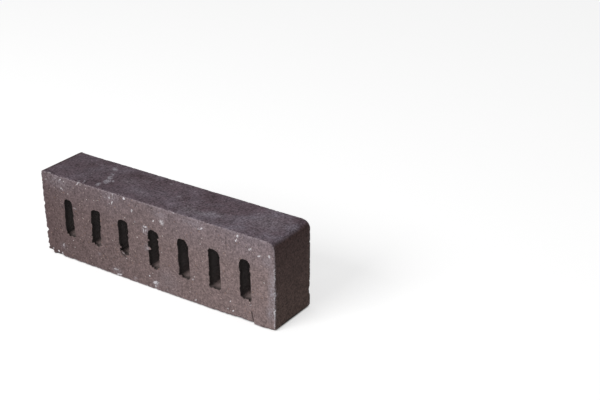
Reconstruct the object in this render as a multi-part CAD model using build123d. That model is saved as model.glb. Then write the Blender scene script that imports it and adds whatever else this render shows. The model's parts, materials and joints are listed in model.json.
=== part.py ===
from build123d import *
import os

# Long, slim clay brick: one piece of clay, pressed through a die, cut to height by wire and fired.
# It lies on a long narrow face. X runs along the brick, Y runs through its slots and Z is up.
# Lengths are in millimetres, and the origin is on the floor under the middle of the brick.

# Overall size: the long slotted faces are the bed faces, one course height apart
brick_length = 290.0
bed_width = 92.0
course_height = 59.0

# Four corners of the die-shaped section, each with the rounding that the fired clay has
upper_right_radius = 9.0
lower_left_radius = 7.0
lower_right_radius = 3.0
upper_left_radius = 2.0

# Worn edge where each wire-cut bed face meets the pressed faces around it
arris_radius = 0.8

# Slots that the cores of the die leave, in one row along the bed faces, a little below their middle
slot_count = 7
slot_pitch = 37.2
slot_width = 11.8
slot_length = 40.0
slot_corner_radius = 3.0
slot_row_drop = 0.8


def die_outline():
    """Outer outline of the section, with the corners rounded one by one, standing on the floor."""
    half_length = brick_length / 2
    corners = [
        ((half_length, bed_width), upper_right_radius),
        ((-half_length, 0), lower_left_radius),
        ((half_length, 0), lower_right_radius),
        ((-half_length, bed_width), upper_left_radius),
    ]
    outline = Pos(0, bed_width / 2) * Rectangle(brick_length, bed_width)
    for place, radius in corners:
        corner = outline.vertices().sort_by_distance(place)[0]
        outline = fillet(corner, radius)
    return outline


def slot_row():
    """Outlines of the slots, evenly spaced along the bed face."""
    slot = RectangleRounded(slot_width, slot_length, slot_corner_radius)
    places = GridLocations(slot_pitch, slot_length, slot_count, 1)
    row_height = bed_width / 2 - slot_row_drop
    return [Pos(0, row_height) * place * slot for place in places]


def clay_brick():
    """The section pressed along Y, cut square at both bed faces, with its cut edges worn round."""
    section = Plane.XZ * (die_outline() - slot_row())
    column = extrude(section, amount=course_height / 2, both=True)
    bed_faces = column.faces().sort_by(Axis.Y)
    cut_edges = bed_faces[0].outer_wire().edges() + bed_faces[-1].outer_wire().edges()
    return fillet(cut_edges, arris_radius)


os.makedirs("parts", exist_ok=True)
brick = clay_brick()
export_step(brick, "parts/brick.step")
print(f"brick: {brick.volume:.0f} cubic millimetres")
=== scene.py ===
# %% [markdown]
# # A long clay brick from the kiln
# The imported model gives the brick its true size: one solid, lying on a long narrow face, with a
# row of slots through it. This lesson dresses that solid. The real brick is straight nowhere: wet clay
# tears where the wire cuts it, its edges are knocked in handling, and the fire colours every face
# in its own way. So the mesh gets real chips and torn slot mouths, and one material gets the rest.

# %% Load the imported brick
import json
import random
from math import radians

import bmesh
import bpy
import numpy as np
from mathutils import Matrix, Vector, noise


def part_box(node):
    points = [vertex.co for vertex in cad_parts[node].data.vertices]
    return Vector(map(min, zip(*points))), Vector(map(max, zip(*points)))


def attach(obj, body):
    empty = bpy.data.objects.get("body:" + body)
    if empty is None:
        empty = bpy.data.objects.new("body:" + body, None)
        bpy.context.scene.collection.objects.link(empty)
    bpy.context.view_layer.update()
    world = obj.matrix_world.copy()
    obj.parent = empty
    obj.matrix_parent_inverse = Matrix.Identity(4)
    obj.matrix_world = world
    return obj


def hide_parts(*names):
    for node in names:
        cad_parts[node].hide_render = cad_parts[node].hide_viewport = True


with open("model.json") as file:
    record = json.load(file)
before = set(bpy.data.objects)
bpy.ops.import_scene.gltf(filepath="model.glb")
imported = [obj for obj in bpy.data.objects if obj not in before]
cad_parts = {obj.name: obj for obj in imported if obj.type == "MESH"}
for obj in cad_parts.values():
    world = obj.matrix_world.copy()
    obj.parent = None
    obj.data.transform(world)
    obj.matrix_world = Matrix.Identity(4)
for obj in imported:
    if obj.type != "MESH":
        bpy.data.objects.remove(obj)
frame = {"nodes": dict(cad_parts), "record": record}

MM = 0.001
scene = bpy.context.scene
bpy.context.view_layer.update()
low, high = (np.array(corner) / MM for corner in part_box("brick"))
LEFT, FRONT, FLOOR = low
RIGHT, BACK, TOP = high
openings = frame["record"]["physics"]["openings"]
SLOT_PLACES = np.array([np.mean(opening["box_m"], axis=0) / MM for opening in openings])
print("brick in mm:", (high - low).round(1), "slots at x:", SLOT_PLACES[:, 0].round(1))

# %% [markdown]
# ## The camera
# The photograph looks down on the brick's slotted face and its right end. The lens and the place of
# the camera were found by fitting the brick's straight edges, so the brick lands on the same pixels.

# %% Set the camera
PHOTO_WIDTH = 600
FOCAL_LENGTH_PIXELS = 1252
SENSOR_WIDTH = 36.0
CAMERA_PLACE = (0.7248, -0.8426, 0.6077)
# A camera looks straight down until it is turned up to the horizon.
HORIZON, CAMERA_PITCH, CAMERA_TURN = radians(90), radians(25.295), radians(34.167)

camera = bpy.data.objects.new("camera", bpy.data.cameras.new("camera"))
scene.collection.objects.link(camera)
camera.data.sensor_width = SENSOR_WIDTH
camera.data.lens = FOCAL_LENGTH_PIXELS * SENSOR_WIDTH / PHOTO_WIDTH
camera.location = CAMERA_PLACE
camera.rotation_euler = (HORIZON - CAMERA_PITCH, 0.0, CAMERA_TURN)
scene.camera = camera
print("lens in mm:", round(camera.data.lens, 1))

# %% [markdown]
# ## The clay blank
# A mesh that will be chipped needs small even faces all over, which the solid's long thin triangles
# are not. The Voxel Remesh modifier fills the solid with tiny cubes and skins them with even quads.
# The cubes are half a millimetre, which is about the size of the sand in the clay.

# %% Cut the blank into even faces
CLAY_LUMP, WELD = 0.5, 0.001


def apply_modifiers(piece):
    """Replace the piece's mesh by what its modifiers make of it."""
    graph = bpy.context.evaluated_depsgraph_get()
    made = bpy.data.meshes.new_from_object(piece.evaluated_get(graph))
    piece.modifiers.clear()
    piece.data = made


solid = bmesh.new()
solid.from_mesh(frame["nodes"]["brick"].data)
bmesh.ops.remove_doubles(solid, verts=solid.verts, dist=WELD * MM)
clay_mesh = bpy.data.meshes.new("clay_brick")
solid.to_mesh(clay_mesh)
solid.free()
brick = bpy.data.objects.new("clay_brick", clay_mesh)
scene.collection.objects.link(brick)
remesh = brick.modifiers.new("even quads", "REMESH")
remesh.mode = "VOXEL"
remesh.voxel_size = CLAY_LUMP * MM
apply_modifiers(brick)
print("blank:", len(brick.data.vertices), "points")

# %% [markdown]
# ## Depth under each face
# Every later step asks how deep a point lies under the outer faces, the cut faces and the slot walls.
# For a rectangle with round corners that depth has a short formula, so it is worked out for all the
# points at once, in millimetres, together with the direction that leads out of the clay. The upper
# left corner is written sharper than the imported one, because a later step fills it out.

# %% Write the depth formulas
UPPER_RIGHT, LOWER_LEFT, LOWER_RIGHT, UPPER_LEFT = 9.0, 7.0, 3.0, 0.9
SLOT_WIDTH, SLOT_LENGTH, SLOT_CORNER = 11.8, 40.0, 3.0
SLOT_LEVEL = SLOT_PLACES[0, 2]
MIDDLE = TOP / 2
TINY = 1e-9


def rounded_rectangle(x, z, half_x, half_z, radius):
    """Distance outside a rectangle with round corners, and the direction away from it."""
    past_x = np.abs(x) - half_x + radius
    past_z = np.abs(z) - half_z + radius
    corner_x, corner_z = np.maximum(past_x, 0), np.maximum(past_z, 0)
    reach = np.hypot(corner_x, corner_z)
    distance = reach + np.minimum(np.maximum(past_x, past_z), 0) - radius
    in_corner = (past_x > 0) & (past_z > 0)
    away_x = np.where(in_corner, corner_x / np.maximum(reach, TINY), past_x >= past_z)
    away_z = np.where(in_corner, corner_z / np.maximum(reach, TINY), past_x < past_z)
    return distance, away_x * np.sign(x), away_z * np.sign(z)


def outer_depth(points):
    """Depth under the pressed outer faces, and the way out as x and z."""
    x, z = points[:, 0], points[:, 2] - MIDDLE
    upper = np.where(x > 0, UPPER_RIGHT, UPPER_LEFT)
    lower = np.where(x > 0, LOWER_RIGHT, LOWER_LEFT)
    radius = np.where(z > 0, upper, lower)
    distance, out_x, out_z = rounded_rectangle(x, z, RIGHT, MIDDLE, radius)
    return -distance, out_x, out_z


def slot_depth(points):
    """Depth under the nearest slot's wall, the way into the slot as x and z, and which slot it is."""
    number = np.abs(points[:, :1] - SLOT_PLACES[:, 0]).argmin(axis=1)
    x = points[:, 0] - SLOT_PLACES[number, 0]
    z = points[:, 2] - SLOT_LEVEL
    distance, away_x, away_z = rounded_rectangle(x, z, SLOT_WIDTH / 2, SLOT_LENGTH / 2, SLOT_CORNER)
    return distance, -away_x, -away_z, number


def bed_depth(points):
    """Depth under the nearer wire-cut bed face, and the way out as y."""
    return BACK - np.abs(points[:, 1]), np.sign(points[:, 1])


print("slot in mm:", SLOT_WIDTH, "by", SLOT_LENGTH)

# %% Measure depths
points = np.empty(len(brick.data.vertices) * 3)
brick.data.vertices.foreach_get("co", points)
points = points.reshape(-1, 3) / MM
depth_out, out_x, out_z = outer_depth(points)
depth_bed, out_y = bed_depth(points)
depth_slot, slot_x, slot_z, slot_number = slot_depth(points)
x, y, z = points.T
moves = np.zeros_like(points)
print("deepest point under the pressed faces in mm:", depth_out.max().round(1))

# %% [markdown]
# ## Wandering cores
# The cores that leave the slots hang on thin rods inside the die, and the clay pushes them about. So
# each slot stands a little off its place, leans, or is squeezed. The list says what the photograph
# shows. The clay around a slot follows it, and ten millimetres further on nothing has moved.

# %% Let the cores wander
# For each slot in mm: how far along x its left wall stands at the upper and the lower end, the same
# for its right wall, and how far up its upper and its lower end stand.
WANDER = np.array([
    (1.5, 1.1, 0.2, 2.1, 2.4, 1.6),
    (0.9, -0.4, 1.1, -0.4, 0.9, 1.2),
    (-1.3, -0.5, -0.4, -0.7, -0.1, 2.0),
    (-0.1, 0.1, 1.6, 1.4, -0.5, -2.0),
    (-0.3, 0.7, -0.1, 2.4, 0.4, -1.2),
    (-0.3, 0.3, 0.6, 2.2, 0.6, -1.4),
    (-1.0, -0.4, -0.7, 0.6, 0.4, -1.2),
])
WANDER_REACH = 10.0
left_upper, left_lower, right_upper, right_lower, upper_rise, lower_rise = WANDER[slot_number].T
from_slot = x - SLOT_PLACES[slot_number, 0]
hold = np.clip(1 - depth_slot / WANDER_REACH, 0, 1)
share_up = np.clip((z - SLOT_LEVEL) / SLOT_LENGTH + 0.5, 0, 1)
share_right = np.clip(from_slot / SLOT_WIDTH + 0.5, 0, 1)
left_wall = left_lower + share_up * (left_upper - left_lower)
right_wall = right_lower + share_up * (right_upper - right_lower)
moves[:, 0] += hold * (left_wall + share_right * (right_wall - left_wall))
moves[:, 2] += hold * (lower_rise + share_up * (upper_rise - lower_rise))
print("largest move of a slot in mm:", np.abs(moves).max().round(1))

# %% [markdown]
# ## Rounder slot ends
# The corners of a core wear first, and these slots came out rounder at their upper ends than at their
# lower ones. A bevel would round all seven alike, so the depth formula is asked again, for slots with
# rounder corners. Where the second answer is larger, clay moves into the slot by the difference.

# %% Round the upper ends of the slots
# Radius in mm of each slot's upper left and upper right corner.
UPPER_CORNERS = np.array([
    (3.4, 3.8), (4.0, 3.0), (4.0, 3.8), (4.0, 5.2), (4.0, 5.2), (3.6, 5.8), (4.2, 4.6),
])
rounder = np.where(from_slot < 0, UPPER_CORNERS[slot_number, 0], UPPER_CORNERS[slot_number, 1])
past, corner_x, corner_z = rounded_rectangle(
    from_slot, z - SLOT_LEVEL, SLOT_WIDTH / 2, SLOT_LENGTH / 2, rounder)
grown = hold * (z > SLOT_LEVEL) * np.maximum(past - depth_slot, 0)
moves[:, 0] -= grown * corner_x
moves[:, 2] -= grown * corner_z
print("upper corners grow by", grown.max().round(2), "mm")

# %% [markdown]
# ## Uneven faces
# Clay shrinks by several percent in the kiln, and never evenly. The pressed faces keep long, shallow
# hollows, and the cut faces are rough because the wire drags grains of sand along. Noise with a size
# in millimetres pushes their points a little way into the clay, never out of it. The walls of the slots
# get long drag marks from the cores, and the lower part of the left end leans in.

# %% Write the noise of the clay
SKIN, SKIN_FULL_SHARE = 1.2, 0.2


def smooth_step(start, end, value):
    """Rises softly from 0 at the start to 1 at the end."""
    share = np.clip((value - start) / (end - start), 0, 1)
    return share * share * (3 - 2 * share)


def on_surface(depth):
    """One on a surface, and zero a skin's thickness below it."""
    return smooth_step(SKIN, SKIN_FULL_SHARE * SKIN, depth)


def clay_noise(points, size, shift, stretch=(1, 1, 1)):
    """Noise from about -1 to 1, with bumps of a size in mm; each shift gives another pattern."""
    scaled = points / (size * np.array(stretch)) + shift
    return np.array([noise.noise(place) for place in scaled.tolist()])


print("skin in mm:", SKIN)

# %% Make the faces uneven
LONG_HOLLOW, LONG_HOLLOW_DEPTH = 48.0, 0.3
DENT, DENT_DEPTH = 9.0, 0.08
TORN_GRAIN, TORN_GRAIN_DEPTH = 2.4, 0.25
CORE_DRAG, CORE_DRAG_DEPTH, DRAG_STRETCH = 4.0, 0.4, (1, 8, 1)
LEFT_END_LEAN, LEAN_REACH = 0.3, 40.0
LEAN_START_SHARE, LEAN_FULL_SHARE = 0.6, 0.25
HOLLOW_SHIFT, DENT_SHIFT, GRAIN_SHIFT, DRAG_SHIFT = 3.1, 17.7, 41.3, 71.9
inland = smooth_step(0, LONG_HOLLOW / 2, RIGHT - np.abs(x))
hollow = LONG_HOLLOW_DEPTH * inland * (0.5 + 0.5 * clay_noise(points, LONG_HOLLOW, HOLLOW_SHIFT))
dent = DENT_DEPTH * (0.5 + 0.5 * clay_noise(points, DENT, DENT_SHIFT))
rough = TORN_GRAIN_DEPTH * (0.5 + 0.5 * clay_noise(points, TORN_GRAIN, GRAIN_SHIFT))
drag = CORE_DRAG_DEPTH * clay_noise(points, CORE_DRAG, DRAG_SHIFT, DRAG_STRETCH)
sunk = on_surface(depth_out) * (hollow + dent)
moves[:, 0] -= sunk * out_x + on_surface(depth_slot) * drag * slot_x
moves[:, 1] -= on_surface(depth_bed) * (hollow + dent + rough) * out_y
moves[:, 2] -= sunk * out_z + on_surface(depth_slot) * drag * slot_z
at_left = smooth_step(LEFT + LEAN_REACH, LEFT, x)
moves[:, 0] += LEFT_END_LEAN * at_left * smooth_step(LEAN_START_SHARE * TOP, LEAN_FULL_SHARE * TOP, z)
print("mean hollow in mm:", hollow.mean().round(2))

# %% [markdown]
# ## Torn slot mouths
# The wire pulls grains out of each slot's lip and smears others into the slot. A torn lip stays crisp,
# so it isn't rounded: it is moved sideways across the bed face, by an amount that jumps along it.
# The move dies out over a few millimetres, both across the face and down the slot.

# %% Tear the slot mouths
LIP_REACH, LIP_DEPTH, LIP_STRETCH = 2.6, 4.0, (1, 0.3, 1)
BITE, BITE_DEPTH, BITE_START, BITE_FULL = 4.2, 0.55, 0.15, 0.3
TOOTH, TOOTH_DEPTH, TOOTH_START, TOOTH_FULL = 3.0, 0.4, 0.25, 0.4
CRUMB, CRUMB_DEPTH = 1.4, 0.22
BITE_SHIFT, TOOTH_SHIFT, CRUMB_SHIFT = 29.5, 61.5, 90.1
# Upper ends are torn less and lower ends more, past a level that is a share of the slot's length.
TOP_SHARE, TOP_START, TOP_FULL = 0.4, 0.35, 0.45
BOTTOM_SHARE, BOTTOM_START, BOTTOM_FULL = 2.2, 0.4, 0.48
lips = np.flatnonzero((depth_slot < LIP_REACH) & (depth_bed < LIP_DEPTH))
lip = (1 - depth_slot[lips] / LIP_REACH).clip(0, 1) * (1 - depth_bed[lips] / LIP_DEPTH)
along_lip = points[lips] * LIP_STRETCH
torn = BITE_DEPTH * smooth_step(BITE_START, BITE_FULL, clay_noise(along_lip, BITE, BITE_SHIFT))
torn -= TOOTH_DEPTH * smooth_step(TOOTH_START, TOOTH_FULL, clay_noise(along_lip, TOOTH, TOOTH_SHIFT))
torn += CRUMB_DEPTH * clay_noise(along_lip, CRUMB, CRUMB_SHIFT)
lip_level = (z[lips] - SLOT_LEVEL) / SLOT_LENGTH
torn *= np.where(lip_level > 0, 1 + (TOP_SHARE - 1) * smooth_step(TOP_START, TOP_FULL, lip_level),
                 1 + (BOTTOM_SHARE - 1) * smooth_step(BOTTOM_START, BOTTOM_FULL, -lip_level))
print("slot lips move in mm:", torn.min().round(2), "to", torn.max().round(2))

# %% [markdown]
# ## Lips that the photograph shows
# Noise gives the right kind of tear, but not its place. The bites and teeth that show clearly are
# written in two lists, one for the sides of the slots and one for their lower ends, and are added to
# the noise before the lips move.

# %% Place the lips that the photograph shows
# Slot, side (-1 is left), level, half height and move into the clay, in mm; below zero it is a tooth.
SEEN_LIPS = [
    (1, -1, 28.0, 2.0, -1.0),
    (2, -1, 51.9, 3.2, 0.9),
    (2, -1, 46.2, 2.4, -0.6),
    (3, -1, 32.6, 0.9, -2.6),
    (3, 1, 49.5, 1.0, -0.9),
    (3, 1, 43.5, 1.0, -0.8),
    (4, -1, 53.7, 0.9, -1.8),
    (4, -1, 45.0, 1.3, -3.4),
    (4, -1, 49.5, 2.5, 0.5),
    (4, -1, 64.0, 2.5, -0.8),
    (4, 1, 57.6, 0.8, -1.8),
    (5, 1, 61.6, 1.0, -0.5),
    (6, 1, 45.0, 12.0, 0.3),
    (6, 1, 61.0, 2.0, 0.4),
    (7, -1, 57.0, 5.0, 0.5),
    (7, -1, 51.2, 0.9, -0.7),
]
# Slot, place along x from the slot's middle, half width and move into the clay of its lower lip.
LOWER_LIPS = [
    (1, -3.8, 1.3, -2.2),
    (2, -4.4, 1.4, -2.2),
    (2, -2.4, 0.9, -0.8),
    (2, 5.0, 1.2, -1.6),
    (4, -4.4, 1.0, -1.6),
    (4, -1.2, 0.7, -1.0),
    (4, 1.2, 0.8, 0.5),
    (4, 3.2, 1.3, -0.9),
    (5, -4.4, 1.5, -2.2),
    (6, -2.4, 1.4, -1.6),
    (7, -4.2, 0.9, -1.0),
    (7, 2.2, 0.8, -1.2),
]
PATCH_END, PATCH_FULL = 1.25, 0.75
FACES_UP = 0.5


def patch(gap, half_size):
    """One in the middle of a patch, and zero just past its half size."""
    return smooth_step(PATCH_END, PATCH_FULL, np.abs(gap) / half_size)


for number, side, level, half_height, move in SEEN_LIPS:
    here = (slot_number[lips] == number - 1) & (slot_x[lips] * side < 0) & (y[lips] < 0)
    torn += here * move * patch(z[lips] - level, half_height)
for number, along, half_width, move in LOWER_LIPS:
    here = (slot_number[lips] == number - 1) & (slot_z[lips] > FACES_UP) & (y[lips] < 0)
    torn += here * move * patch(x[lips] - SLOT_PLACES[number - 1, 0] - along, half_width)
moves[lips, 0] -= lip * torn * slot_x[lips]
moves[lips, 2] -= lip * torn * slot_z[lips]
print("lips placed by hand:", len(SEEN_LIPS) + len(LOWER_LIPS))

# %% [markdown]
# ## The lifted flake
# Under the third slot a flake of clay has lifted and closes the slot's lower left corner. New faces
# would have to be sewn in, so the floor of the slot is pulled up there instead, like a tongue that is
# highest at the front and dies out further in.

# %% Lift the flake under the third slot
THIRD = 2
THIRD_SLOT = SLOT_PLACES[THIRD, 0]
FLAKE_PLACE, FLAKE_HALF_WIDTH, FLAKE_RISE, FLAKE_DEPTH = -3.0, 2.6, 2.8, 8.0
FLOOR_START, FLOOR_FULL = 0.3, 0.8
slot_floor = smooth_step(FLOOR_START, FLOOR_FULL, slot_z)
under_slot = (slot_number == THIRD) * slot_floor * (1 - (y - FRONT) / FLAKE_DEPTH).clip(0, 1)
flake = hold * under_slot * patch(x - THIRD_SLOT - FLAKE_PLACE, FLAKE_HALF_WIDTH)
moves[:, 2] += FLAKE_RISE * flake
print("flake moves", np.count_nonzero(flake), "points")

# %% [markdown]
# ## Worn arrises
# An arris is the edge where a cut face meets a pressed face. It is broken into small steps, and worn
# to a rounding whose radius changes along it. A Bevel modifier would round it evenly, so here noise
# gives the radius at each point. The front upper arris is worn most towards its left end, and the
# front lower one is worn and spalled up to the crack. The upper half of the left end and a stretch of
# the front lower arris kept their edge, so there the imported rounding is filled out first.

# %% Fill out the edges that stayed sharp
EDGE_REACH = 4.0
KEPT_LEVEL, KEPT_FADE, KEPT_SHARE = 42.5, 2.5, 0.8
KEPT_START, KEPT_END = LEFT + 106.0, LEFT + 158.0
kept_left = smooth_step(LEFT + EDGE_REACH, LEFT + EDGE_REACH / 2, x)
kept_left *= smooth_step(KEPT_LEVEL, KEPT_LEVEL + KEPT_FADE, z)
kept_lower = smooth_step(KEPT_START, KEPT_START + KEPT_FADE, x)
kept_lower *= smooth_step(KEPT_END, KEPT_END - KEPT_FADE, x)
kept_lower *= (y < 0) & (z < EDGE_REACH)
kept = np.maximum(kept_left, kept_lower)
filled = kept * np.minimum(depth_out, depth_bed)
edges = np.flatnonzero((depth_out < EDGE_REACH) & (depth_bed < EDGE_REACH))
moves[:, 0] += filled * out_x
moves[:, 2] += filled * out_z
print("points near an arris:", len(edges), "of them kept sharp:", np.count_nonzero(kept[edges]))

# %% Choose how far each arris is worn
ARRIS_LEAST, ARRIS_MOST = 0.7, 1.1
WEAR_LONG, WEAR_SHORT, LONG_SHIFT, SHORT_SHIFT = 16.0, 6.0, 5.5, 8.2
# Stretches along x that are worn more: by how much, from where to where, and over what length it fades.
WORN_UPPER, UPPER_START, UPPER_END = 2.2, LEFT + 8.0, LEFT + 110.0
UPPER_FADE_IN, UPPER_FADE_OUT = 8.0, 60.0
WORN_LOWER, LOWER_START, LOWER_END, LOWER_FADE = 0.9, 28.0, 119.8, 20.0
on_edge = points[edges]
wear = 0.5 + clay_noise(on_edge, WEAR_LONG, LONG_SHIFT)
wear += 0.5 * clay_noise(on_edge, WEAR_SHORT, SHORT_SHIFT)
radius = ARRIS_LEAST + (ARRIS_MOST - ARRIS_LEAST) * wear.clip(0, 1)
front_edge = y[edges] < 0
upper_front = front_edge & (z[edges] > TOP - EDGE_REACH)
lower_front = front_edge & (z[edges] < EDGE_REACH) & (x[edges] < LOWER_END)
lower_share = smooth_step(LOWER_START, LOWER_START + LOWER_FADE, x[edges])
worn_start = smooth_step(UPPER_START, UPPER_START + UPPER_FADE_IN, x[edges])
worn_stretch = worn_start * smooth_step(UPPER_END, UPPER_END - UPPER_FADE_OUT, x[edges])
radius += WORN_UPPER * upper_front * worn_stretch + WORN_LOWER * lower_front * lower_share
radius *= 1 - KEPT_SHARE * kept[edges]
print("arris radius in mm:", radius.min().round(2), "to", radius.max().round(2))

# %% Wear the arrises
NICK, NICK_SHIFT, NICK_START, NICK_FULL, NICK_BED_SHARE = 3.6, 53.2, 0.05, 0.25, 0.6
NICK_DEPTH, LEFT_NICK_DEPTH, LOWER_NICK_DEPTH = 0.2, 0.3, 0.5
SPALL, SPALL_START, SPALL_FADE = 1.3, 75.0, 35.0


def round_edge(first, second, radius):
    """How far a point moves into each of two faces so that their edge gets a radius."""
    first_left, second_left = np.maximum(radius - first, 0), np.maximum(radius - second, 0)
    reach = np.hypot(first_left, second_left)
    outside = (reach > radius) & (first_left > 0) & (second_left > 0)
    share = np.where(outside, radius / np.maximum(reach, TINY), 1)
    return first_left * (1 - share), second_left * (1 - share)


left_out, left_bed = depth_out[edges] - filled[edges], depth_bed[edges] - filled[edges]
into_outer, into_bed = round_edge(left_out, left_bed, radius)
near_edge = (1 - depth_out[edges] / EDGE_REACH) * (1 - depth_bed[edges] / EDGE_REACH)
nick_depth = np.where(x[edges] < LEFT + EDGE_REACH, LEFT_NICK_DEPTH, NICK_DEPTH)
nick_depth = np.where(lower_front, LOWER_NICK_DEPTH, nick_depth)
nicked = smooth_step(NICK_START, NICK_FULL, clay_noise(on_edge, NICK, NICK_SHIFT))
nick = near_edge * nick_depth * nicked
nick += near_edge * SPALL * lower_front * smooth_step(SPALL_START, SPALL_START + SPALL_FADE, x[edges])
moves[edges, 0] -= (into_outer + nick) * out_x[edges]
moves[edges, 1] -= (into_bed + NICK_BED_SHARE * nick - filled[edges]) * out_y[edges]
moves[edges, 2] -= (into_outer + nick) * out_z[edges]
points += moves
print("deepest nick in mm:", nick.max().round(2))

# %% [markdown]
# ## Chips and pits
# Dry clay breaks in shells: a knock takes out a lumpy bowl. Each one here is an ellipsoid that is held
# into the clay, and every point inside it moves out to its surface. The ones that show in the
# photograph are listed one by one. Grains that fell out of the cut faces left small pits, and the far
# edges are chipped too, so both get a seeded scatter of the same kind, alike in every run.

# %% Knock out the chips
LUMP, LUMP_SHARE = 2.2, 0.35
SEEN_SHIFT = 3.7
unbroken = points.copy()


def knock_out(points, centre, half_sizes, shift):
    """Push the points inside a lumpy ellipsoid, in mm, out to its surface."""
    centre, half_sizes = np.array(centre), np.array(half_sizes)
    spot = (points - centre) / half_sizes
    near = np.flatnonzero((np.abs(spot) < 1 + LUMP_SHARE).all(axis=1))
    spot = spot[near]
    lumpy = 1 + LUMP_SHARE * clay_noise(points[near], LUMP, shift)
    reach = np.linalg.norm(spot, axis=1).clip(TINY)
    grown = spot * np.maximum(lumpy / reach, 1)[:, None]
    points[near] = centre + grown * half_sizes


# Each chip is its centre (x, y, z) and its half sizes along x, y and z.
SEEN_CHIPS = [
    ((LEFT - 0.6, FRONT - 0.6, 25.6), (4.0, 4.0, 2.8)),
    ((LEFT - 0.7, FRONT - 0.2, 83.4), (1.8, 2.0, 1.0)),
    ((LEFT - 0.7, FRONT - 0.2, 79.6), (1.5, 1.7, 1.2)),
    ((LEFT - 0.5, FRONT - 0.6, 14.0), (2.6, 3.0, 3.0)),
    ((LEFT - 0.5, FRONT - 0.8, 7.4), (4.4, 4.6, 2.9)),
    ((LEFT + 3.2, FRONT - 1.0, 0.1), (5.8, 5.0, 4.3)),
    ((LEFT + 16.8, FRONT - 0.8, FLOOR - 0.7), (7.0, 4.2, 3.9)),
    ((LEFT - 0.6, FRONT - 0.3, 55.6), (2.2, 2.4, 2.6)),
    ((LEFT + 54.5, FRONT - 0.3, TOP + 0.4), (2.0, 3.0, 1.6)),
    ((RIGHT + 0.6, BACK + 0.8, 19.0), (3.2, 3.4, 6.5)),
    ((RIGHT + 0.6, BACK + 0.8, 30.0), (2.0, 2.2, 7.0)),
    ((RIGHT + 0.7, BACK + 0.8, 38.5), (1.7, 1.7, 2.4)),
    ((RIGHT + 1.0, FRONT - 0.5, FLOOR - 0.4), (16.0, 3.0, 2.9)),
    ((RIGHT + 0.6, FRONT - 0.3, 23.0), (1.4, 1.5, 2.2)),
    ((RIGHT + 0.7, FRONT - 0.4, 62.0), (1.3, 1.4, 1.8)),
    ((RIGHT - 28.0, BACK + 0.5, TOP + 0.7), (6.0, 1.8, 1.2)),
    ((LEFT + 80.0, BACK + 0.6, TOP + 0.8), (5.0, 2.0, 1.3)),
]
for number, (centre, half_sizes) in enumerate(SEEN_CHIPS):
    knock_out(points, centre, half_sizes, number * SEEN_SHIFT)
print("chips placed by hand:", len(SEEN_CHIPS))

# %% Scatter pits and far chips
random.seed(7)
PITS_PER_BED, PIT_SIZES, PIT_MARGIN, PIT_SHIFT = 60, (0.5, 1.2), 4, 1.3
FAR_CHIPS, CHIP_SIZES, CHIP_STRETCHES, CHIP_SHIFT = 40, (0.7, 2.0), (1, 2.4), 2.9
END_MARGIN, LEVEL_MARGIN, LONG_EDGE_SHARE = 6, 8, 0.7
OUTSIDE, FLATTER = 0.3, 0.8
for face in (FRONT, BACK):
    for number in range(PITS_PER_BED):
        size = random.uniform(*PIT_SIZES)
        along = random.uniform(LEFT + PIT_MARGIN, RIGHT - PIT_MARGIN)
        up = random.uniform(PIT_MARGIN, TOP - PIT_MARGIN)
        knock_out(points, (along, face, up), (size, size * FLATTER, size), number * PIT_SHIFT)
for number in range(FAR_CHIPS):
    size = random.uniform(*CHIP_SIZES)
    stretch = size * random.uniform(*CHIP_STRETCHES)
    along = random.uniform(LEFT + END_MARGIN, RIGHT - END_MARGIN)
    up = random.uniform(LEVEL_MARGIN, TOP - LEVEL_MARGIN)
    if random.random() < LONG_EDGE_SHARE:
        up = random.choice([FLOOR - OUTSIDE, TOP + OUTSIDE])
        half_sizes = (stretch, size, size * FLATTER)
    else:
        along = random.choice([LEFT - OUTSIDE, RIGHT + OUTSIDE])
        half_sizes = (size * FLATTER, size, stretch)
    knock_out(points, (along, BACK + OUTSIDE, up), half_sizes, number * CHIP_SHIFT)
print("scattered:", 2 * PITS_PER_BED, "pits and", FAR_CHIPS, "chips")

# %% [markdown]
# ## Cracks
# A crack runs up from the lower edge near the right end, where the clay dried too fast. Two hairlines
# stand near the upper edge, and behind the lifted flake there is a dark crescent, a gap in shadow. Each
# is a groove along a short line of points, deepest in its middle, and painted shade darkens it.

# %% Open the cracks
# Each groove: the (x, z) places of its line, its half width and depth in mm, and how dark its painted
# shade is.
GROOVES = [
    ([(120.3, 0.0), (119.8, 2.5), (119.2, 6.0), (118.4, 10.0), (118.0, 12.8)], 0.7, 1.5, 0.55),
    ([(90.0, 70.0), (89.8, 77.0), (90.2, 84.0)], 0.7, 0.5, 0.45),
    ([(22.0, 80.0), (22.1, 88.0)], 0.6, 0.4, 0.3),
    ([(THIRD_SLOT - 5.8, 30.2), (THIRD_SLOT - 4.8, 28.2), (THIRD_SLOT - 3.2, 26.8),
      (THIRD_SLOT - 1.4, 26.1), (THIRD_SLOT + 0.4, 25.8)], 0.8, 2.0, 1.0),
]
FACE_REACH = 2.0
GROOVE_SHADE_START, GROOVE_SHADE_FULL = 0.1, 0.5
painted_groove_shade = np.zeros(len(points))
for line, half_width, depth, groove_shade in GROOVES:
    front = np.flatnonzero(points[:, 1] < FRONT + FACE_REACH)
    flat = points[front][:, (0, 2)]
    gap = np.full(len(front), np.inf)
    for start, end in zip(line, line[1:]):
        start, run = np.array(start), np.array(end) - start
        share = ((flat - start) @ run / (run @ run)).clip(0, 1)
        gap = np.minimum(gap, np.linalg.norm(flat - start - share[:, None] * run, axis=1))
    share = (1 - gap / half_width).clip(0, 1)
    points[front, 1] += depth * share
    # Painted shade along the middle of each groove.
    shaded = groove_shade * smooth_step(GROOVE_SHADE_START, GROOVE_SHADE_FULL, share)
    painted_groove_shade[front] = np.maximum(painted_groove_shade[front], shaded)
points = np.clip(points, low, high)
brick.data.vertices.foreach_set("co", (points * MM).ravel())
brick.data.update()
print("points with dirt:", np.count_nonzero(painted_groove_shade))
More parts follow.
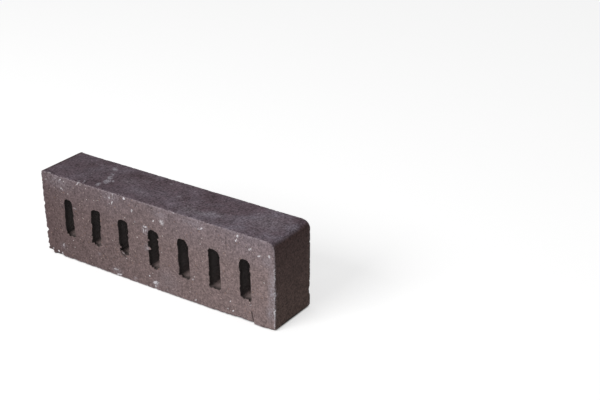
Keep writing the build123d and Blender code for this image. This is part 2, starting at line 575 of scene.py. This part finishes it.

# %% [markdown]
# ## Where each finish goes
# The material needs to know which points lie on a pressed face, on a worn edge, in a break or on the
# wall or the floor of a slot. The depths in the blank tell that, and each answer is kept on the mesh as
# an attribute from 0 to 1. Painted shade blackens the slots just inside their mouths, less so on their
# floors.

# %% Paint the finishes on the mesh
finishes = []


def paint(name, values):
    """Keep a value from 0 to 1 at each point, for the material to read."""
    layer = brick.data.attributes.new(name, "FLOAT", "POINT")
    layer.data.foreach_set("value", values.astype(np.float32))
    finishes.append(name)
    print(name, "covers", values.mean().round(3), "of the points")


# Depths in mm between which each finish comes in or fades out.
WALL_END, WALL_FULL, MOUTH_START, MOUTH_FULL = 1.0, 0.5, 0.2, 0.6
MOUTH_SHADE_START, MOUTH_SHADE_END = 2.0, 10.0
SLOT_CLEARANCE = 2.0
SKIN_START, SKIN_FULL = -0.1, 0.5
RUB_END, RUB_FULL = 2.0, 0.6
BREAK_START, BREAK_FULL = 0.5, 1.1
# The share of the painted shade taken off the floor of a slot, where light falls in.
FLOOR_LIGHT_SHARE = 0.12
on_wall = smooth_step(WALL_END, WALL_FULL, depth_slot) * smooth_step(MOUTH_START, MOUTH_FULL, depth_bed)
# Painted shade inside the slot mouths: full for the first two millimetres behind the bed face, gone by
# ten.
mouth_shade = 1 - smooth_step(MOUTH_SHADE_START, MOUTH_SHADE_END, depth_bed)
clear = depth_slot > SLOT_CLEARANCE
broken_off = np.linalg.norm(points - unbroken, axis=1)
paint("slot_wall", on_wall)
# The slot floors get painted light, where light falls in through the mouths.
paint("slot_floor", on_wall * slot_floor)
# Painted shade: the slot mouths, less of it on their floors, and the grooves.
paint("painted_slot_shade", np.maximum(on_wall * mouth_shade * (1 - FLOOR_LIGHT_SHARE * slot_floor), painted_groove_shade))
paint("pressed_skin", clear * smooth_step(SKIN_START, SKIN_FULL, depth_bed - depth_out))
# The rim along each arris: rubbed wear, and also a painted highlight.
paint("worn_and_highlit_edge", smooth_step(RUB_END, RUB_FULL, np.maximum(depth_out, depth_bed)))
paint("broken", clear * smooth_step(BREAK_START, BREAK_FULL, broken_off))

# %% [markdown]
# ## Settled dust and sheen
# Pale dust lies in soft clouds on the front and on the upper face, and one soft cloud high on the front
# at the left is a painted sheen. Patches as large and soft as these are painted on the points too. The
# material could draw them, but it has room for only so many patterns, and past that room it renders
# black.

# %% Paint the settled dust and sheen
# Soft patches: place from the left end, height or depth behind the front, half length, half width,
# turn in degrees and strength.
FRONT_DUST_AND_SHEEN = [
    # The first patch, high on the front at the left, is a painted sheen; the others are dust.
    (23.4, 86.0, 24.0, 12.0, 0, 0.32), (93.1, 87.6, 14.0, 7.0, 0, 0.3),
    (136.9, 62.7, 6.0, 7.0, 0, 0.4), (136.9, 43.7, 4.0, 6.0, 0, 0.35),
    (286.8, 40.7, 6.0, 36.0, 0, 0.65), (284.5, 18.0, 6.0, 12.0, 0, 0.6),
    (283.3, 70.6, 9.0, 9.0, 0, 0.4), (195.7, 86.6, 22.0, 6.0, 0, 0.3),
    (23.4, 11.9, 8.0, 6.0, 0, 0.2), (155.8, 84.6, 14.0, 7.0, 0, 0.3),
    (96.0, 5.5, 9.0, 5.0, 0, 0.45), (147.0, 6.5, 7.0, 5.0, 0, 0.4),
    (120.0, 4.2, 4.0, 3.0, 0, 0.4), (73.0, 18.0, 3.0, 2.4, 0, 0.4),
    (163.0, 14.0, 20.0, 18.0, 0, 0.2),
]
TOP_DUST = [
    (203.0, 16.0, 24.0, 5.0, 18, 0.75), (262.0, 32.0, 28.0, 22.0, 0, 0.35),
    (182.0, 12.0, 18.0, 9.0, 0, 0.4), (115.0, 18.0, 14.0, 8.0, 0, 0.2),
    (92.0, 30.0, 16.0, 10.0, 0, 0.2), (106.0, 40.0, 8.0, 2.5, -30, 0.3),
]
FACE_END, FACE_FULL = 2.0, 0.5


def soft_patches(patches, level):
    """How strongly soft patches cover each point, by its place along the brick and its level."""
    cover = np.zeros(len(points))
    for place, height, half_length, half_width, turn, strength in patches:
        along, across = points[:, 0] - LEFT - place, level - height
        cosine, sine = np.cos(radians(turn)), np.sin(radians(turn))
        spread = np.hypot((along * cosine + across * sine) / half_length,
                          (across * cosine - along * sine) / half_width)
        cover = np.maximum(cover, strength * (1 - spread))
    return cover


behind_front, height = points[:, 1] - FRONT, points[:, 2]
on_front_face = smooth_step(FACE_END, FACE_FULL, behind_front)
on_upper_face = smooth_step(FACE_END, FACE_FULL, TOP - height)
paint("dust_and_sheen", np.maximum(on_front_face * soft_patches(FRONT_DUST_AND_SHEEN, height),
                                 on_upper_face * soft_patches(TOP_DUST, behind_front)))

# %% [markdown]
# ## Fewer triangles
# The even quads were needed for shaping, but flat stretches can do with larger faces. The Decimate
# modifier joins faces where that changes the shape least, so chips and lips keep theirs. Edges that
# turn sharply are then marked sharp, because torn clay has hard edges and worn clay has soft ones.

# %% Thin the mesh where it is flat
TRIANGLES = 190_000
TORN_ANGLE = radians(38)
brick.data.calc_loop_triangles()
thin = brick.modifiers.new("thin flat stretches", "DECIMATE")
thin.ratio = TRIANGLES / len(brick.data.loop_triangles)
apply_modifiers(brick)
brick.data.polygons.foreach_set("use_smooth", [True] * len(brick.data.polygons))
brick.data.set_sharp_from_angle(angle=TORN_ANGLE)
brick.data.calc_loop_triangles()
print("clay_brick:", len(brick.data.loop_triangles), "triangles")

# %% [markdown]
# ## Wire-cut fired clay
# The cut face shows what the clay is made of: a purple-brown body full of sand, browner at the left
# and paler towards the right. Three layers of pattern make it: slow drifts
# of colour, a grit that changes the brightness from grain to grain, and single pale and dark grains.
# Grit and grains are drawn at one to two millimetres, coarser than real sand, so that they show at
# this distance.

# %% Start the clay material
def linear(hex_colour):
    """A colour written as sRGB hex, as the linear values that shaders take."""
    values = [int(hex_colour[i:i + 2], 16) / 255 for i in (1, 3, 5)]
    return [v / 12.92 if v <= 0.04045 else ((v + 0.055) / 1.055) ** 2.4 for v in values] + [1.0]


def add(tree, kind, inputs, **settings):
    """Add a node with its settings, and fill its inputs or link them to other nodes."""
    made = tree.nodes.new("ShaderNode" + kind)
    for name, value in settings.items():
        setattr(made, name, value)
    for name, value in inputs.items():
        named = [socket for socket in made.inputs if socket.name == name and socket.enabled]
        socket = named[0] if named else made.inputs[name]
        if isinstance(value, bpy.types.Node):
            value = next(output for output in value.outputs if output.enabled)
        if isinstance(value, bpy.types.NodeSocket):
            tree.links.new(value, socket)
        else:
            socket.default_value = value
    return made


# Matt, dry and grainy: almost no gloss, and a colour that changes from grain to grain.
clay = bpy.data.materials.new("fired_clay_wire_cut")
clay.use_nodes = True
tree = clay.node_tree
tree.nodes.clear()
place = add(tree, "TexCoord", {}).outputs["Object"]
spot = add(tree, "SeparateXYZ", {"Vector": place})
print("material:", clay.name)

# %% Let the colour drift along the cut face
BROWN_BODY, PALE_BODY, BLUE_BODY = "#635353", "#897877", "#7F7884"
DRIFT, PALER_POWER = 60.0, 0.8
BLUE_START_SHARE, BLUE_LEFT_SHARE = 0.6, 0.25
rightwards = add(tree, "MapRange", {
    "Value": spot.outputs["X"], "From Min": LEFT * MM, "From Max": RIGHT * MM})
paler = add(tree, "Math", {0: rightwards, 1: PALER_POWER}, operation="POWER")
cut = add(tree, "Mix", {
    "Factor": paler, "A": linear(BROWN_BODY), "B": linear(PALE_BODY)}, data_type="RGBA")
drift = add(tree, "TexNoise", {"Vector": place, "Scale": 1 / (DRIFT * MM), "Detail": 3.0})
upwards = add(tree, "MapRange", {
    "Value": spot.outputs["Z"], "From Min": BLUE_START_SHARE * TOP * MM, "From Max": TOP * MM})
bluer = add(tree, "Math", {0: drift, 1: upwards}, operation="MULTIPLY")
blue_share = add(tree, "MapRange", {"Value": rightwards, "To Min": BLUE_LEFT_SHARE})
bluer = add(tree, "Math", {0: bluer, 1: blue_share}, operation="MULTIPLY")
cut = add(tree, "Mix", {"Factor": bluer, "A": cut, "B": linear(BLUE_BODY)}, data_type="RGBA")
print("drift in mm:", DRIFT)

# %% Give the cut face its grit
MOTTLE, GRIT = 7.0, 1.9
MOTTLE_CONTRAST, CUT_CONTRAST = 0.12, 0.48
# Most of a noise texture lies between these two values.
NOISE_LOW, NOISE_HIGH = 0.25, 0.75
mottle = add(tree, "TexNoise", {
    "Vector": place, "Scale": 1 / (MOTTLE * MM), "Detail": 2.0, "Roughness": 0.6})
grit = add(tree, "TexNoise", {
    "Vector": place, "Scale": 1 / (GRIT * MM), "Detail": 2.0, "Roughness": 0.7})
patches = add(tree, "MapRange", {
    "Value": mottle, "From Min": NOISE_LOW, "From Max": NOISE_HIGH,
    "To Min": 1 - MOTTLE_CONTRAST, "To Max": 1 + MOTTLE_CONTRAST})


def shade_by_grain(contrast):
    """A brightness near 1 that changes from patch to patch, and from grain to grain by a contrast."""
    grains = add(tree, "MapRange", {
        "Value": grit, "From Min": NOISE_LOW, "From Max": NOISE_HIGH,
        "To Min": 1 - contrast, "To Max": 1 + contrast})
    return add(tree, "Math", {0: patches, 1: grains}, operation="MULTIPLY")


cut = add(tree, "Mix", {
    "Factor": 1.0, "A": cut, "B": shade_by_grain(CUT_CONTRAST),
}, data_type="RGBA", blend_type="MULTIPLY")
print("mottle and grit in mm:", MOTTLE, GRIT)

# %% [markdown]
# ## Sand in the clay
# Quartz, crushed brick, lime and pores show as single grains. A Voronoi texture parts space into cells
# of about one size, and its random colour says which cells hold a grain and how large it is. Noise
# shakes the place first, because a grain of sand is never a perfect ball.

# %% Strew sand through the clay
# Each kind of grain: spacing and radius in mm, the share of places that hold one, its colour, and how
# strongly it shows.
SAND = {
    "pale quartz": (3.4, 0.8, 0.5, "#B9A69E", 0.7),
    "warm grog": (4.8, 0.9, 0.35, "#8E7163", 0.5),
    # Pores are painted dark: painted shade for the inside of small holes.
    "pore": (4.6, 0.7, 0.5, "#2E2725", 0.7),
    "lime fleck": (8.0, 0.75, 0.5, "#DAD4D2", 0.8),
}
GRAIN_SHAKE, GRAIN_SHAKE_REACH = 1.2, 0.6
SMALLEST_SHARE = 0.4
NOISE_MIDDLE = (0.5, 0.5, 0.5)
SAND_SHIFT = (0.37, 0.11, 0.0)


def shake_place(size, reach):
    """The place, shaken to and fro by noise with bumps of a size in mm."""
    shake = add(tree, "TexNoise", {"Vector": place, "Scale": 1 / (size * MM)})
    shake = add(tree, "VectorMath", {
        0: shake.outputs["Color"], 1: NOISE_MIDDLE}, operation="SUBTRACT")
    return add(tree, "VectorMath", {
        0: shake, 1: [2 * reach * MM] * 3, 2: place}, operation="MULTIPLY_ADD")


def strew(number, spacing, radius, share, strength):
    """How strongly one kind of grain covers a place; its number shifts it away from the other kinds."""
    shifted = add(tree, "Mapping", {
        "Vector": ragged, "Location": [number * step for step in SAND_SHIFT]})
    cells = add(tree, "TexVoronoi", {"Vector": shifted, "Scale": 1 / (spacing * MM)})
    chance = add(tree, "SeparateColor", {"Color": cells.outputs["Color"]})
    held = add(tree, "Math", {0: chance.outputs["Red"], 1: share}, operation="LESS_THAN")
    size = add(tree, "MapRange", {
        "Value": chance.outputs["Green"],
        "To Min": SMALLEST_SHARE * radius / spacing, "To Max": radius / spacing})
    inside = add(tree, "Math", {0: cells.outputs["Distance"], 1: size}, operation="LESS_THAN")
    grain = add(tree, "Math", {0: inside, 1: held}, operation="MULTIPLY")
    return add(tree, "Math", {0: grain, 1: strength}, operation="MULTIPLY")


ragged = shake_place(GRAIN_SHAKE, GRAIN_SHAKE_REACH)
for number, (spacing, radius, share, tint, strength) in enumerate(SAND.values()):
    cover = strew(number, spacing, radius, share, strength)
    cut = add(tree, "Mix", {"Factor": cover, "A": cut, "B": linear(tint)}, data_type="RGBA")
print("kinds of grain:", list(SAND))

# %% [markdown]
# ## Pressed faces
# The die leaves a thin dense skin on the long narrow faces and the ends. It fired darker and more
# purple than the cut face, and carries clouds of pale bloom, most of them towards the right end, and
# grains of dust from the die. The ends got less air in the kiln and stayed brown.

# %% Colour the pressed skin
DARK_SKIN, PURPLE_SKIN, PALE_BLOOM = "#514349", "#685A62", "#87808B"
CLOUD, CLOUD_LOW, CLOUD_HIGH = 26.0, 0.35, 0.65
BLOOM, BLOOM_LOW, BLOOM_HIGH, BLOOM_SHIFT = 34.0, 0.44, 0.66, (0.53, 0.21, 0.0)
BLOOM_MIDDLE_SHARE, BLOOM_RIGHT_SHARE = 0.3, 0.8
clouds = add(tree, "TexNoise", {
    "Vector": place, "Scale": 1 / (CLOUD * MM), "Detail": 5.0, "Roughness": 0.65})
cloudy = add(tree, "MapRange", {"Value": clouds, "From Min": CLOUD_LOW, "From Max": CLOUD_HIGH})
skin = add(tree, "Mix", {
    "Factor": cloudy, "A": linear(DARK_SKIN), "B": linear(PURPLE_SKIN)}, data_type="RGBA")
shifted = add(tree, "Mapping", {"Vector": place, "Location": BLOOM_SHIFT})
bloom = add(tree, "TexNoise", {
    "Vector": shifted, "Scale": 1 / (BLOOM * MM), "Detail": 4.0, "Roughness": 0.6})
bloomed = add(tree, "MapRange", {"Value": bloom, "From Min": BLOOM_LOW, "From Max": BLOOM_HIGH})
bloom_share = add(tree, "MapRange", {
    "Value": spot.outputs["X"], "From Min": 0.0, "From Max": RIGHT * MM,
    "To Min": BLOOM_MIDDLE_SHARE, "To Max": BLOOM_RIGHT_SHARE})
bloomed = add(tree, "Math", {0: bloomed, 1: bloom_share}, operation="MULTIPLY")
skin = add(tree, "Mix", {"Factor": bloomed, "A": skin, "B": linear(PALE_BLOOM)}, data_type="RGBA")
print("clouds and bloom in mm:", CLOUD, BLOOM)

# %% Give the skin its grit and die dust
SKIN_CONTRAST, LEFT_SHADE, RIGHT_SHADE = 0.75, 0.9, 1.08
DUST_SPACING, DUST_RADIUS, DUST_SHARE, DUST_STRENGTH, DIE_DUST = 5.0, 0.75, 0.5, 0.6, "#A39AA0"
paler_right = add(tree, "MapRange", {
    "Value": rightwards, "To Min": LEFT_SHADE, "To Max": RIGHT_SHADE})
shade = add(tree, "Math", {0: shade_by_grain(SKIN_CONTRAST), 1: paler_right}, operation="MULTIPLY")
skin = add(tree, "Mix", {
    "Factor": 1.0, "A": skin, "B": shade}, data_type="RGBA", blend_type="MULTIPLY")
die_dust = strew(len(SAND), DUST_SPACING, DUST_RADIUS, DUST_SHARE, DUST_STRENGTH)
skin = add(tree, "Mix", {"Factor": die_dust, "A": skin, "B": linear(DIE_DUST)}, data_type="RGBA")
print("grains of die dust in mm:", DUST_RADIUS)

# %% Keep the ends brown
# Each end is painted lighter at its foot than at its head: painted light, for the light the white paper
# sends back up.
END_FOOT, END_HEAD = "#5E4E49", "#463635"
END_START, END_FULL, END_CONTRAST = 4.0, 1.0, 0.7
from_middle = add(tree, "Math", {0: spot.outputs["X"]}, operation="ABSOLUTE")
at_end = add(tree, "MapRange", {
    "Value": from_middle, "From Min": (RIGHT - END_START) * MM, "From Max": (RIGHT - END_FULL) * MM})
height_share = add(tree, "MapRange", {"Value": spot.outputs["Z"], "From Max": TOP * MM})
ends = add(tree, "Mix", {
    "Factor": height_share, "A": linear(END_FOOT), "B": linear(END_HEAD)}, data_type="RGBA")
ends = add(tree, "Mix", {
    "Factor": 1.0, "A": ends, "B": shade_by_grain(END_CONTRAST),
}, data_type="RGBA", blend_type="MULTIPLY")
skin = add(tree, "Mix", {"Factor": at_end, "A": skin, "B": ends}, data_type="RGBA")
print("brown ends start", END_START, "mm before the end")

# %% [markdown]
# ## Edges, breaks and slots
# Handling rubs the arrises pale, and that pale rim is also a painted highlight along them. A fresh
# break shows the lighter body. The slots are grey inside, with painted light on their floors where
# light falls in, and painted shade, almost black, at their mouths. The painted attributes say where
# each one goes, and a later layer covers an earlier one.

# %% Join the faces
# Colours: pale rubbed arrises that are also a painted highlight, grey slot walls, painted light on the
# slot floors and painted shade at the slot mouths.
RUBBED_AND_HIGHLIT_CLAY, GREY_WALL, PAINTED_FLOOR_LIGHT, MOUTH_SHADE_COLOUR = "#A0949A", "#706A69", "#AA9794", "#3B3635"
RUBBED_LOW, RUBBED_HIGH, RUBBED_MOST = 0.4, 0.6, 0.6
painted = {name: add(tree, "Attribute", {}, attribute_name=name).outputs["Fac"]
           for name in finishes}
# The pale rim along the arrises is rubbed wear and also a painted highlight.
rubbed_and_highlit = add(tree, "MapRange", {
    "Value": grit, "From Min": RUBBED_LOW, "From Max": RUBBED_HIGH, "To Max": RUBBED_MOST})
rubbed_and_highlit = add(tree, "Math", {0: rubbed_and_highlit, 1: painted["worn_and_highlit_edge"]}, operation="MULTIPLY")
layers = [
    (painted["pressed_skin"], skin),
    (rubbed_and_highlit, linear(RUBBED_AND_HIGHLIT_CLAY)),
    (painted["broken"], cut),
    (painted["slot_wall"], linear(GREY_WALL)),
    # Painted light on the slot floors, where light falls in.
    (painted["slot_floor"], linear(PAINTED_FLOOR_LIGHT)),
    # Painted shade at the slot mouths and in the grooves.
    (painted["painted_slot_shade"], linear(MOUTH_SHADE_COLOUR)),
]
colour = cut
for cover, tint in layers:
    colour = add(tree, "Mix", {"Factor": cover, "A": colour, "B": tint}, data_type="RGBA")
print("finishes:", list(painted))

# %% [markdown]
# ## Lime, scratches and smudges
# Burst grains of lime, scratches and smears of mortar dust left single marks, and these are placed one
# by one. Each mark is an ellipse: a Mapping node moves its centre to zero, turns it and shrinks its
# half sizes to one, so the length of the result says how far out a point lies. Noise shakes the place
# first, which makes the outline ragged. A round speck is simpler: the distance to its centre will do.
# Where marks of a colour overlap, the strongest one counts, so one Mix node is enough for each colour.

# %% Write how a list of marks covers the brick
SHAKE, SHAKE_REACH = 2.4, 2.0
MARK_DEPTH, MARK_CORE = 2.5, 0.55
DUSTY_LOW, DUSTY_HIGH, DUSTY_LEAST, DUSTY_MOST = 0.35, 0.65, 0.2, 1.4
shaken = shake_place(SHAKE, SHAKE_REACH)
dusty = add(tree, "MapRange", {
    "Value": grit, "From Min": DUSTY_LOW, "From Max": DUSTY_HIGH,
    "To Min": DUSTY_LEAST, "To Max": DUSTY_MOST})


def cover_by(marks, core, cover=0.0):
    """How strongly marks cover a place: each has a centre, half sizes in mm, turns and a strength."""
    for centre, half_sizes, turns, strength in marks:
        ellipse = add(tree, "Mapping", {
            "Vector": shaken, "Location": [value * MM for value in centre],
            "Rotation": [radians(turn) for turn in turns],
            "Scale": [value * MM for value in half_sizes],
        }, vector_type="TEXTURE")
        outwards = add(tree, "VectorMath", {0: ellipse}, operation="LENGTH")
        mark = add(tree, "MapRange", {
            "Value": outwards, "From Min": core, "From Max": 1.0, "To Min": strength, "To Max": 0.0})
        cover = add(tree, "Math", {0: cover, 1: mark}, operation="MAXIMUM")
    return cover


def cover_by_specks(specks):
    """How strongly round specks on the front face cover a place."""
    cover = 0.0
    for along, up, radius, strength in specks:
        centre = ((LEFT + along) * MM, FRONT * MM, up * MM)
        outwards = add(tree, "VectorMath", {0: shaken, 1: centre}, operation="DISTANCE")
        speck = add(tree, "MapRange", {
            "Value": outwards, "From Min": MARK_CORE * radius * MM, "From Max": radius * MM,
            "To Min": strength, "To Max": 0.0})
        cover = add(tree, "Math", {0: cover, 1: speck}, operation="MAXIMUM")
    return cover


def dust_over(cover):
    """The cover, thinner between the grains."""
    return add(tree, "Math", {0: cover, 1: dusty}, operation="MULTIPLY", use_clamp=True)


print("marks shake by", SHAKE_REACH, "mm")

# %% Place the lime on the cut face
LIME = "#E2DEE2"
FLAKE_ALONG = THIRD_SLOT - LEFT
# Round specks: place along the face from the left end, height, radius and strength.
LIME_SPECKS = [
    (15.5, 4.6, 1.5, 1.1), (20.0, 3.6, 1.2, 1.0), (7.5, 5.4, 1.0, 0.8), (85.5, 84.5, 1.0, 0.8),
    (91.5, 85.6, 1.3, 0.9), (110.5, 89.6, 1.5, 1.4), (120.2, 78.6, 1.6, 1.0), (126.5, 86.0, 1.0, 0.7),
    (123.5, 68.0, 1.0, 0.8), (158.0, 77.0, 3.5, 0.5), (160.0, 91.0, 1.0, 0.9), (173.0, 91.5, 1.1, 1.0),
    (201.6, 89.4, 1.1, 0.7), (202.0, 82.4, 1.1, 1.1), (248.7, 88.4, 1.3, 1.3), (284.2, 77.2, 1.8, 1.7),
    (139.0, 13.0, 1.2, 0.9), (146.0, 3.4, 1.6, 1.2), (161.0, 4.0, 1.0, 0.8), (196.5, 4.2, 1.1, 0.8),
    (235.0, 7.5, 1.1, 1.1), (193.7, 26.0, 1.1, 0.8), (287.9, 48.7, 1.4, 0.6),
]
# Long marks: place along the face, height, half length, half width, turn in degrees and strength.
FRONT_LIME = [
    (25.5, 88.0, 2.4, 0.8, 25, 1.0), (26.8, 78.5, 2.8, 0.7, -25, 0.9), (6.0, 83.8, 1.8, 0.6, 15, 0.8),
    (11.0, 92.0, 3.2, 0.9, 5, 0.6), (50.6, 91.0, 3.4, 0.9, 45, 1.0), (43.8, 60.7, 3.4, 0.5, 0, 0.5),
    (96.0, 88.5, 3.6, 0.5, 88, 0.9), (94.8, 81.0, 2.8, 0.7, 50, 1.1), (91.0, 78.8, 1.8, 0.7, 10, 0.7),
    (136.0, 66.3, 3.6, 0.8, 5, 1.2), (133.7, 62.3, 3.9, 0.9, 90, 0.9), (137.0, 62.3, 1.7, 0.9, 0, 0.9),
    (138.6, 43.0, 2.0, 1.1, 90, 0.5), (147.5, 75.6, 2.3, 0.8, 25, 1.0),
    (206.0, 83.8, 3.2, 0.6, 25, 0.8), (246.9, 83.4, 2.0, 0.7, 60, 1.4),
    (262.5, 78.5, 2.3, 0.9, 35, 0.6), (273.0, 74.6, 2.4, 0.8, 35, 0.8),
    (23.5, 14.0, 2.9, 1.0, 85, 0.8), (99.0, 2.6, 4.2, 1.2, 18, 1.2), (94.5, 7.0, 3.6, 0.9, 5, 0.8),
    (146.6, 7.6, 4.6, 2.1, 18, 1.5), (238.3, 16.2, 2.0, 0.7, 62, 1.2), (241.4, 7.0, 2.1, 0.8, 68, 1.3),
    # The marks at 289 mm run down the right arris: rubbed pale, and also a painted highlight.
    (262.0, 19.5, 2.0, 0.5, 60, 0.7), (289.2, 6.0, 0.6, 5.0, 0, 0.6), (289.3, 20.0, 0.7, 8.0, 0, 1.1),
    (289.4, 38.0, 0.6, 9.0, 0, 0.6), (289.5, 60.0, 0.6, 12.0, 0, 0.5),
    (FLAKE_ALONG - 2.4, 29.2, 2.4, 1.0, -30, 0.4), (FLAKE_ALONG + 4.2, 30.3, 2.4, 0.7, 38, 0.6),
]


def on_front(marks):
    """The same marks as ellipses on the front face."""
    return [((LEFT + along, FRONT, up), (half_length, MARK_DEPTH, half_width), (0, -turn, 0), strength)
            for along, up, half_length, half_width, turn, strength in marks]


lime = dust_over(cover_by(on_front(FRONT_LIME), MARK_CORE, cover_by_specks(LIME_SPECKS)))
colour = add(tree, "Mix", {"Factor": lime, "A": colour, "B": linear(LIME)}, data_type="RGBA")
print("lime marks on the cut face:", len(LIME_SPECKS) + len(FRONT_LIME))

# %% Place the dust on the upper face
# Pale dust, and the painted sheen high on the front.
DUST_AND_SHEEN = "#A29CA4"
# Place from the left end, depth behind the front, half length, half width, turn in degrees, strength.
TOP_MARKS = [
    (60.0, 45.0, 5.5, 4.0, -40, 1.5), (67.0, 34.0, 4.5, 2.8, -40, 1.2),
    (70.0, 26.0, 6.0, 3.8, -50, 1.4), (73.0, 18.0, 6.5, 4.5, -60, 1.7),
    (78.0, 21.5, 3.2, 2.2, -40, 1.5), (71.0, 8.0, 6.0, 3.2, -70, 1.1),
    (54.5, 5.5, 5.2, 0.8, -72, 1.6), (49.0, 3.4, 2.4, 1.4, 30, 0.7), (40.0, 46.0, 14.0, 1.0, 4, 0.4),
    (131.0, 49.0, 2.2, 2.0, 0, 0.6), (155.0, 31.0, 3.0, 2.6, 0, 0.5),
]


def on_top(marks):
    """The same marks as ellipses on the upper face."""
    return [((LEFT + along, FRONT + behind, TOP), (half_length, half_width, MARK_DEPTH),
             (0, 0, turn), strength)
            for along, behind, half_length, half_width, turn, strength in marks]


# This cover holds the dust on both faces and the painted sheen on the front.
dust = dust_over(cover_by(on_top(TOP_MARKS), 0.0, painted["dust_and_sheen"]))
colour = add(tree, "Mix", {"Factor": dust, "A": colour, "B": linear(DUST_AND_SHEEN)}, data_type="RGBA")
print("smudges on the upper face:", len(TOP_MARKS))

# %% Place the painted shadows
SHADOW = "#211D1B"
# Painted shade in pores, as round specks: place along the face, height, radius and strength.
SHADOW_SPECKS = [
    (136.0, 45.0, 1.0, 0.8), (71.0, 22.2, 1.0, 0.9), (228.0, 16.5, 1.0, 0.8), (99.0, 71.0, 0.9, 0.7),
    (FLAKE_ALONG - 1.9, 26.4, 0.9, 0.8),
]
# Painted shadow beside the scratch on the upper face, and a dark band near its front edge.
TOP_SHADOW = [(57.2, 6.0, 5.0, 0.8, -72, 0.8), (215.0, 6.0, 22.0, 3.0, 2, 0.25)]
# A painted shadow along the foot of the right end, where it meets the paper.
END_SHADOW = [((RIGHT, 0.0, FLOOR), (2.4, 34.0, 4.0), (0, 0, 0), 1.0)]
shadow = cover_by(on_top(TOP_SHADOW) + END_SHADOW, MARK_CORE, cover_by_specks(SHADOW_SPECKS))
colour = add(tree, "Mix", {
    "Factor": shadow, "A": colour, "B": linear(SHADOW)}, data_type="RGBA")
print("dark marks:", len(SHADOW_SPECKS) + len(TOP_SHADOW) + len(END_SHADOW))

# %% [markdown]
# ## Gloss and fine relief
# Fired clay is rough to the touch. The pressed skin is a little smoother and catches a dull sheen.
# Relief finer than the mesh is bump: the same grit that colours the clay also raises it.

# %% Finish the clay
CUT_ROUGHNESS, SKIN_ROUGHNESS, SHEEN = 0.95, 0.75, 0.1
GRIT_HEIGHT, GRIT_RELIEF = 0.3, 0.7
dull = add(tree, "MapRange", {
    "Value": painted["pressed_skin"], "To Min": CUT_ROUGHNESS, "To Max": SKIN_ROUGHNESS})
relief = add(tree, "Bump", {
    "Height": grit, "Strength": GRIT_RELIEF, "Distance": GRIT_HEIGHT * MM})
surface = add(tree, "BsdfPrincipled", {
    "Base Color": colour, "Roughness": dull, "Normal": relief, "Specular IOR Level": SHEEN})
add(tree, "OutputMaterial", {"Surface": surface})
brick.data.materials.clear()
brick.data.materials.append(clay)
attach(brick, "root")
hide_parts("brick")
print("nodes in the clay:", len(tree.nodes))

# %% [markdown]
# ## Floor
# A sheet of white paper carries the brick. The camera sees it brighter than it lights the brick, so the
# background is white. An Ambient Occlusion node takes that extra brightness away where the brick
# nearly touches the paper, so the dark line at its foot stays.

# %% Lay the floor
FLOOR_SIZE = 6.0
sheet = bmesh.new()
bmesh.ops.create_grid(sheet, x_segments=1, y_segments=1, size=FLOOR_SIZE / 2)
floor_mesh = bpy.data.meshes.new("paper_floor")
sheet.to_mesh(floor_mesh)
sheet.free()
floor = bpy.data.objects.new("paper_floor", floor_mesh)
scene.collection.objects.link(floor)
print("floor in m:", FLOOR_SIZE)

# %% Make the paper
PAPER, WHITE = "#E4E4E4", "#FFFFFF"
PAPER_GLOW, CONTACT_REACH = 0.56, 1.2
# Uncoated paper: perfectly matt, and white.
paper = bpy.data.materials.new("matt_white_paper")
paper.use_nodes = True
paper_tree = paper.node_tree
paper_tree.nodes.clear()


def seen_directly(tree):
    """One for rays from the camera, also by way of gloss or glass, and zero for rays of light."""
    ray = add(tree, "LightPath", {})
    seen = add(tree, "Math", {
        0: ray.outputs["Is Camera Ray"], 1: ray.outputs["Is Glossy Ray"]}, operation="MAXIMUM")
    return add(tree, "Math", {
        0: seen, 1: ray.outputs["Is Transmission Ray"]}, operation="MAXIMUM")


lit = add(paper_tree, "BsdfDiffuse", {"Color": linear(PAPER)})
open_sky = add(paper_tree, "AmbientOcclusion", {"Distance": CONTACT_REACH * MM})
extra = add(paper_tree, "Math", {0: open_sky.outputs["AO"], 1: PAPER_GLOW}, operation="MULTIPLY")
glow = add(paper_tree, "Emission", {"Color": linear(WHITE), "Strength": extra})
both = add(paper_tree, "AddShader", {0: lit, 1: glow})
shown = add(paper_tree, "MixShader", {0: seen_directly(paper_tree), 1: lit, 2: both})
add(paper_tree, "OutputMaterial", {"Surface": shown})
floor_mesh.materials.append(paper)
print("material:", paper.name)

# %% [markdown]
# ## Light
# One large soft light stands at the front, a little to the left, and pale walls send some back from all
# round. An area lamp makes the first and the world the second. The camera sees the world as plain
# white, which is a strength of one, while it lights the brick with about a third of that.

# %% Set the light
WORLD_LIGHT, WORLD_SEEN = 0.36, 1.0
KEY_WIDTH, KEY_HEIGHT, KEY_WATTS = 1.0, 0.8, 20.0
KEY_PLACE, KEY_AIM = Vector((-0.35, -1.5, 1.1)), Vector((0, 0, 0.05))
studio = bpy.data.worlds.new("studio")
scene.world = studio
studio.use_nodes = True
studio_tree = studio.node_tree
studio_tree.nodes.clear()
soft = add(studio_tree, "Background", {"Color": linear(WHITE), "Strength": WORLD_LIGHT})
white = add(studio_tree, "Background", {"Color": linear(WHITE), "Strength": WORLD_SEEN})
mixed = add(studio_tree, "MixShader", {0: seen_directly(studio_tree), 1: soft, 2: white})
add(studio_tree, "OutputWorld", {"Surface": mixed})
key = bpy.data.lights.new("key_softbox", "AREA")
key.shape = "RECTANGLE"
key.size, key.size_y = KEY_WIDTH, KEY_HEIGHT
key.energy = KEY_WATTS
key_light = bpy.data.objects.new("key_softbox", key)
scene.collection.objects.link(key_light)
key_light.location = KEY_PLACE
key_light.rotation_euler = (KEY_AIM - KEY_PLACE).to_track_quat("-Z", "Y").to_euler()
scene.view_settings.view_transform = "Standard"
print("key light in W:", key.energy)
